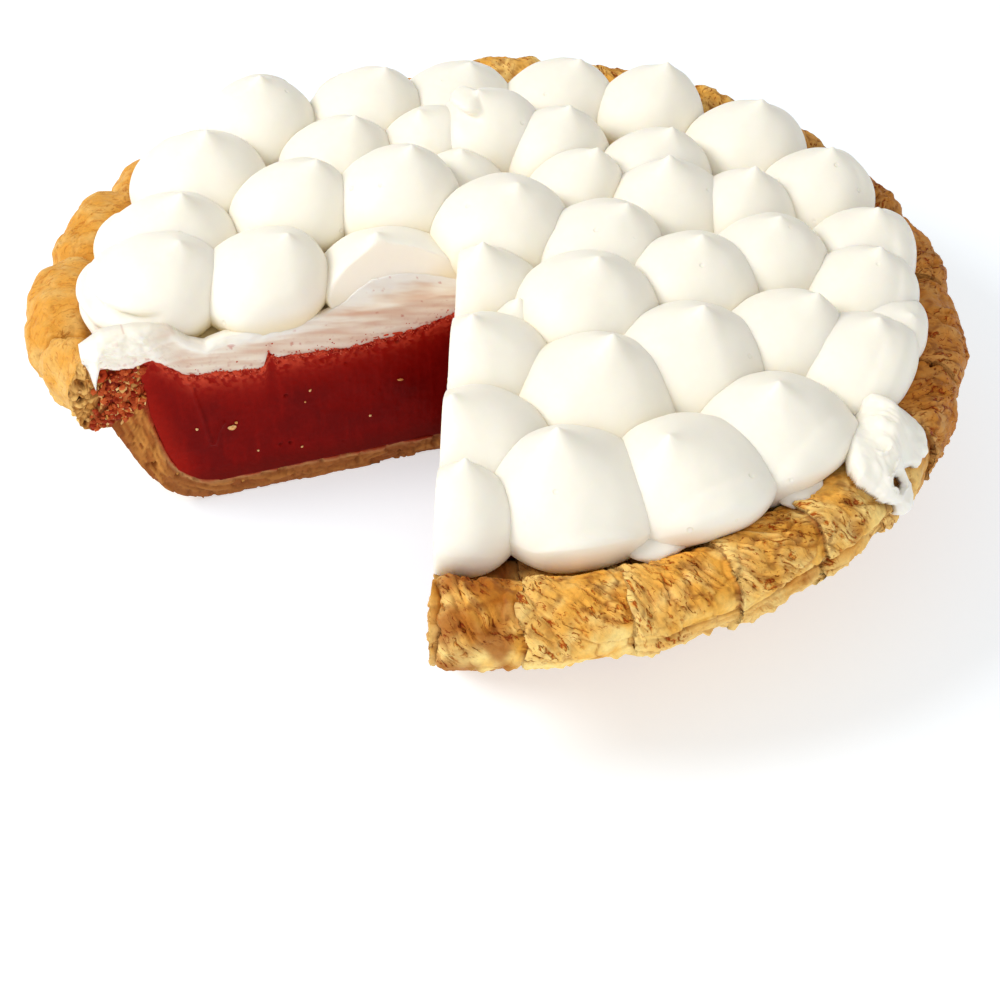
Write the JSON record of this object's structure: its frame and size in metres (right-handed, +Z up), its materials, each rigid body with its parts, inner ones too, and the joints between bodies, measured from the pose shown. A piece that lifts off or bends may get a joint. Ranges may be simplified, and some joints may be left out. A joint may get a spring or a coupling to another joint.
{
  "type": "cream pie",
  "caption": "Deep round pie with a crimped pastry crust, red custard filling and whipped cream kisses on top; one slice is missing, so the filling shows.",
  "frame": {"origin": "on the flat underside of the crust, at the middle of the round pie", "axes": "+Z up through the pie's middle; the missing slice opens towards -X and -Y, and the rim's widest whole stretch lies towards +X and +Y"},
  "size_m": [0.2662, 0.2663, 0.084],
  "materials": {
    "baked_pastry": "golden brown baked pastry, flaky, darker in its cracks",
    "red_custard": "deep red set custard, satin, smooth where it is cut",
    "whipped_cream": "smooth warm white whipped cream"
  },
  "bodies": {
    "root": {"crust": "baked_pastry", "custard_filling": "red_custard", "cream_layer": "whipped_cream", "cream_slump": "whipped_cream", "cream_kiss_01": "whipped_cream", "cream_kiss_02": "whipped_cream", "cream_kiss_03": "whipped_cream", "cream_kiss_04": "whipped_cream", "cream_kiss_05": "whipped_cream", "cream_kiss_06": "whipped_cream", "cream_kiss_07": "whipped_cream", "cream_kiss_08": "whipped_cream", "cream_kiss_09": "whipped_cream", "cream_kiss_10": "whipped_cream", "cream_kiss_11": "whipped_cream", "cream_kiss_12": "whipped_cream", "cream_kiss_13": "whipped_cream", "cream_kiss_14": "whipped_cream", "cream_kiss_15": "whipped_cream", "cream_kiss_16": "whipped_cream", "cream_kiss_17": "whipped_cream", "cream_kiss_18": "whipped_cream", "cream_kiss_19": "whipped_cream", "cream_kiss_20": "whipped_cream", "cream_kiss_21": "whipped_cream", "cream_kiss_22": "whipped_cream", "cream_kiss_23": "whipped_cream", "cream_kiss_24": "whipped_cream", "cream_kiss_25": "whipped_cream", "cream_kiss_26": "whipped_cream", "cream_kiss_27": "whipped_cream", "cream_kiss_28": "whipped_cream", "cream_kiss_29": "whipped_cream", "cream_kiss_30": "whipped_cream", "cream_kiss_31": "whipped_cream", "cream_kiss_32": "whipped_cream", "cream_kiss_33": "whipped_cream", "cream_kiss_34": "whipped_cream", "cream_kiss_35": "whipped_cream", "cream_kiss_36": "whipped_cream", "cream_kiss_37": "whipped_cream", "cream_kiss_38": "whipped_cream", "cream_kiss_39": "whipped_cream", "cream_kiss_40": "whipped_cream", "cream_kiss_41": "whipped_cream", "cream_kiss_42": "whipped_cream", "cream_kiss_43": "whipped_cream"}
  },
  "joints": []
}
